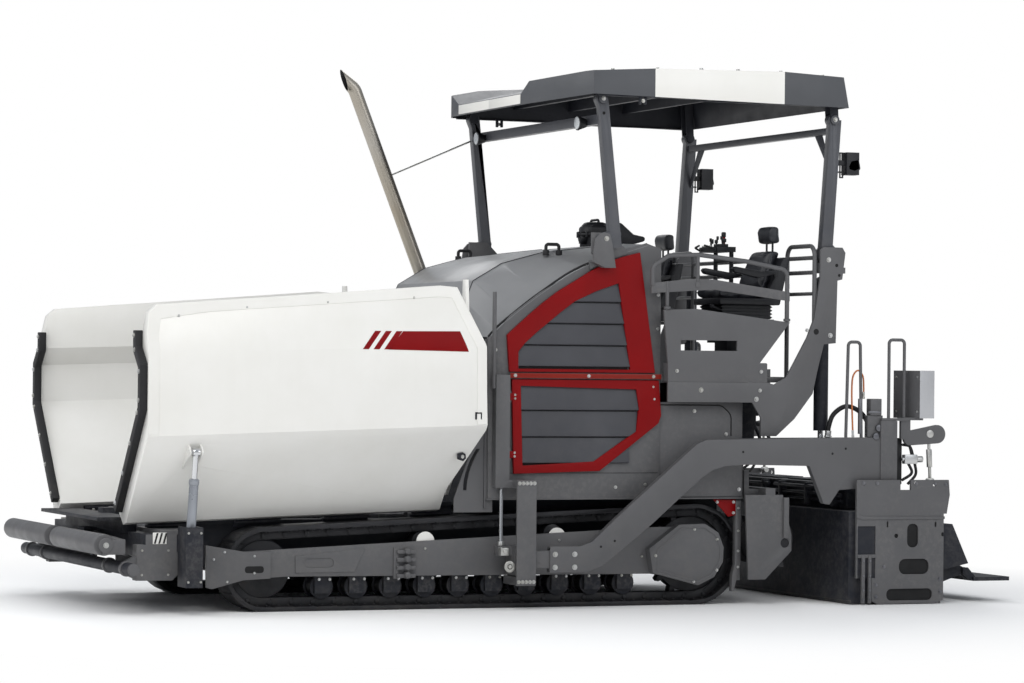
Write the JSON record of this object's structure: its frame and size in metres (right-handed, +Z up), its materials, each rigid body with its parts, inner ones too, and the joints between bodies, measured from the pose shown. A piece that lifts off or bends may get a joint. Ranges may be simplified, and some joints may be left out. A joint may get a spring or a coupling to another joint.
{
  "type": "asphalt paver",
  "caption": "Tracked road paver with a folding material hopper, hinged engine hood, operator canopy, spreading augers and a lifting screed with sliding extensions.",
  "frame": {"origin": "on the ground under the centre of the bounding box", "axes": "+X to the front (hopper), +Y to the machine's left, +Z up"},
  "size_m": [7.2, 3.04, 4.0626],
  "materials": {
    "body_grey": "semi-gloss",
    "hood_grey": "semi-gloss",
    "hopper_white": "semi-gloss",
    "red_trim": "gloss",
    "frame_dark": "satin",
    "track_steel": "worn",
    "roller_steel": "satin",
    "conveyor_steel": "worn",
    "engine_iron": "matte",
    "stainless": "polished",
    "rod_chrome": "polished",
    "roof_white": "matte",
    "seat_black": "matte",
    "console_dark": "matte",
    "screed_steel": "satin"
  },
  "bodies": {
    "chassis": {"main_frame": "frame_dark", "hopper_base": "frame_dark", "slat_conveyors": "conveyor_steel", "engine": "engine_iron", "engine_cowling": "body_grey", "upper_grilles": "red_trim", "exhaust_pipe": "stainless", "air_intake": "console_dark", "dash_cover": "console_dark", "track_left": "track_steel", "track_right": "track_steel", "track_wheels_left": "roller_steel", "track_wheels_right": "roller_steel", "track_frame_left": "frame_dark", "track_frame_right": "frame_dark", "operator_platform": "body_grey", "platform_side_panels": "body_grey", "platform_rails": "body_grey", "side_frames": "frame_dark", "tow_guides": "frame_dark"},
    "screed": {"tow_arms": "body_grey", "screed_frame": "screed_steel", "screed_controls": "console_dark"},
    "tow_carriages": {"tow_carriages": "frame_dark"},
    "wing_left": {"hopper_wing_left": "hopper_white"},
    "wing_barrel_left": {"wing_cylinder_barrel_left": "frame_dark"},
    "wing_rod_left": {"wing_cylinder_rod_left": "rod_chrome"},
    "push_roller_left": {"push_roller_left": "roller_steel"},
    "grille_door_left": {"grille_door_left": "red_trim"},
    "extension_left": {"screed_extension_left": "screed_steel", "end_gate_left": "screed_steel"},
    "walkway_left": {"walkway_left": "screed_steel"},
    "auger_left": {"auger_left": "conveyor_steel"},
    "seat_left": {"seat_left": "seat_black", "seat_cushion_left": "seat_black"},
    "wing_right": {"hopper_wing_right": "hopper_white"},
    "wing_barrel_right": {"wing_cylinder_barrel_right": "frame_dark"},
    "wing_rod_right": {"wing_cylinder_rod_right": "rod_chrome"},
    "push_roller_right": {"push_roller_right": "roller_steel"},
    "grille_door_right": {"grille_door_right": "red_trim"},
    "extension_right": {"screed_extension_right": "screed_steel", "end_gate_right": "screed_steel"},
    "walkway_right": {"walkway_right": "screed_steel"},
    "auger_right": {"auger_right": "conveyor_steel"},
    "seat_right": {"seat_right": "seat_black", "seat_cushion_right": "seat_black"},
    "push_roller_beam": {"push_roller_beam": "frame_dark"},
    "engine_hood": {"engine_hood": "hood_grey"},
    "lift_cylinder_barrels": {"lift_cylinder_barrels": "frame_dark"},
    "lift_cylinder_rods": {"lift_cylinder_rods": "frame_dark"},
    "auger_frame": {"auger_frame": "frame_dark"},
    "control_console": {"control_console": "console_dark"},
    "front_posts": {"front_posts": "body_grey"},
    "rear_posts": {"rear_posts": "body_grey"},
    "canopy_roof": {"canopy_roof": "roof_white"}
  },
  "joints": [
    {"name": "wing_left_fold", "type": "hinge", "parent": "chassis", "child": "wing_left", "pos_m": [3.28, 0.86, 0.657], "axis": [0.9994, 0, -0.035], "range_deg": [-10, 38]},
    {"name": "wing_barrel_left_tilt", "type": "hinge", "parent": "chassis", "child": "wing_barrel_left", "pos_m": [2.93, 1.335, 0.3], "axis": [1, 0, 0], "range_deg": [-6.87, 24.71]},
    {"name": "wing_rod_left_stroke", "type": "slide", "parent": "wing_barrel_left", "child": "wing_rod_left", "axis": [0, 0.181, 0.9835], "range_m": [-0.0876, 0.3216]},
    {"name": "wing_right_fold", "type": "hinge", "parent": "chassis", "child": "wing_right", "pos_m": [3.28, -0.86, 0.657], "axis": [-0.9994, 0, 0.035], "range_deg": [-10, 38]},
    {"name": "wing_barrel_right_tilt", "type": "hinge", "parent": "chassis", "child": "wing_barrel_right", "pos_m": [2.93, -1.335, 0.3], "axis": [-1, 0, 0], "range_deg": [-6.87, 24.71]},
    {"name": "wing_rod_right_stroke", "type": "slide", "parent": "wing_barrel_right", "child": "wing_rod_right", "axis": [0, -0.181, 0.9835], "range_m": [-0.0876, 0.3216]},
    {"name": "push_beam_swivel", "type": "hinge", "parent": "chassis", "child": "push_roller_beam", "pos_m": [3.3, 0, 0.48], "axis": [0, 0, 1], "range_deg": [-4, 4]},
    {"name": "push_roller_left_spin", "type": "hinge", "parent": "push_roller_beam", "child": "push_roller_left", "pos_m": [3.525, 0, 0.494], "axis": [0, 1, 0], "continuous": true},
    {"name": "push_roller_right_spin", "type": "hinge", "parent": "push_roller_beam", "child": "push_roller_right", "pos_m": [3.525, 0, 0.494], "axis": [0, 1, 0], "continuous": true},
    {"name": "hood_hinge", "type": "hinge", "parent": "chassis", "child": "engine_hood", "pos_m": [-0.6, 0, 2.69], "axis": [0, -1, 0], "range_deg": [0, 50]},
    {"name": "grille_door_left_hinge", "type": "hinge", "parent": "chassis", "child": "grille_door_left", "pos_m": [0.492, 1.262, 1.33], "axis": [0, 0, -1], "range_deg": [0, 80]},
    {"name": "grille_door_right_hinge", "type": "hinge", "parent": "chassis", "child": "grille_door_right", "pos_m": [0.492, -1.262, 1.33], "axis": [0, 0, 1], "range_deg": [0, 80]},
    {"name": "tow_point_lift", "type": "slide", "parent": "chassis", "child": "tow_carriages", "axis": [0, 0, 1], "range_m": [0, 0.15]},
    {"name": "screed_lift", "type": "hinge", "parent": "tow_carriages", "child": "screed", "pos_m": [0.43, 0, 0.365], "axis": [0, 1, 0], "range_deg": [0, 6.5]},
    {"name": "lift_barrel_tilt", "type": "hinge", "parent": "chassis", "child": "lift_cylinder_barrels", "pos_m": [-2.08, 0, 2.43], "axis": [0, -1, 0], "range_deg": [-0.5, 7.2]},
    {"name": "lift_rod_stroke", "type": "slide", "parent": "lift_cylinder_barrels", "child": "lift_cylinder_rods", "axis": [0, 0, 1], "range_m": [-0.005, 0.283]},
    {"name": "extension_left_slide", "type": "slide", "parent": "screed", "child": "extension_left", "axis": [0, 1, 0], "range_m": [0, 1]},
    {"name": "walkway_left_fold", "type": "hinge", "parent": "extension_left", "child": "walkway_left", "pos_m": [-3.23, 0, 0.24], "axis": [0, 1, 0], "range_deg": [0, 80]},
    {"name": "extension_right_slide", "type": "slide", "parent": "screed", "child": "extension_right", "axis": [0, -1, 0], "range_m": [0, 1]},
    {"name": "walkway_right_fold", "type": "hinge", "parent": "extension_right", "child": "walkway_right", "pos_m": [-3.23, 0, 0.24], "axis": [0, 1, 0], "range_deg": [0, 80]},
    {"name": "auger_lift", "type": "slide", "parent": "chassis", "child": "auger_frame", "axis": [0, 0, 1], "range_m": [0, 0.12]},
    {"name": "auger_left_spin", "type": "hinge", "parent": "auger_frame", "child": "auger_left", "pos_m": [-1.72, 0, 0.46], "axis": [0, 1, 0], "continuous": true},
    {"name": "auger_right_spin", "type": "hinge", "parent": "auger_frame", "child": "auger_right", "pos_m": [-1.72, 0, 0.46], "axis": [0, 1, 0], "continuous": true},
    {"name": "seat_left_swivel", "type": "hinge", "parent": "chassis", "child": "seat_left", "pos_m": [-1.48, 0.95, 1.9], "axis": [0, 0, 1], "range_deg": [-20, 20]},
    {"name": "seat_right_swivel", "type": "hinge", "parent": "chassis", "child": "seat_right", "pos_m": [-1.48, -0.95, 1.9], "axis": [0, 0, 1], "range_deg": [-20, 20]},
    {"name": "console_slide", "type": "slide", "parent": "chassis", "child": "control_console", "axis": [0, -1, 0], "range_m": [0, 0.84]},
    {"name": "canopy_fold", "type": "hinge", "parent": "chassis", "child": "front_posts", "pos_m": [-0.22, 0, 2.7], "axis": [0, -1, 0], "range_deg": [0, 75]},
    {"name": "rear_posts_fold", "type": "hinge", "parent": "chassis", "child": "rear_posts", "pos_m": [-2.12, 0, 2.61], "axis": [0, -1, 0], "range_deg": [0, 75]},
    {"name": "roof_level", "type": "hinge", "parent": "front_posts", "child": "canopy_roof", "pos_m": [-0.19, 0, 3.73], "axis": [0, -1, 0], "range_deg": [-75, 0]}
  ],
  "couplings": [
    {"joint": "wing_barrel_left_tilt", "follows": "wing_left_fold", "ratio": 0.637},
    {"joint": "wing_rod_left_stroke", "follows": "wing_left_fold", "m_per_rad": 0.4788},
    {"joint": "wing_barrel_right_tilt", "follows": "wing_right_fold", "ratio": 0.637},
    {"joint": "wing_rod_right_stroke", "follows": "wing_right_fold", "m_per_rad": 0.4788},
    {"joint": "lift_barrel_tilt", "follows": "screed_lift", "ratio": 1.02},
    {"joint": "lift_rod_stroke", "follows": "screed_lift", "m_per_rad": 2.4003},
    {"joint": "rear_posts_fold", "follows": "canopy_fold", "ratio": 1},
    {"joint": "roof_level", "follows": "canopy_fold", "ratio": -1}
  ]
}
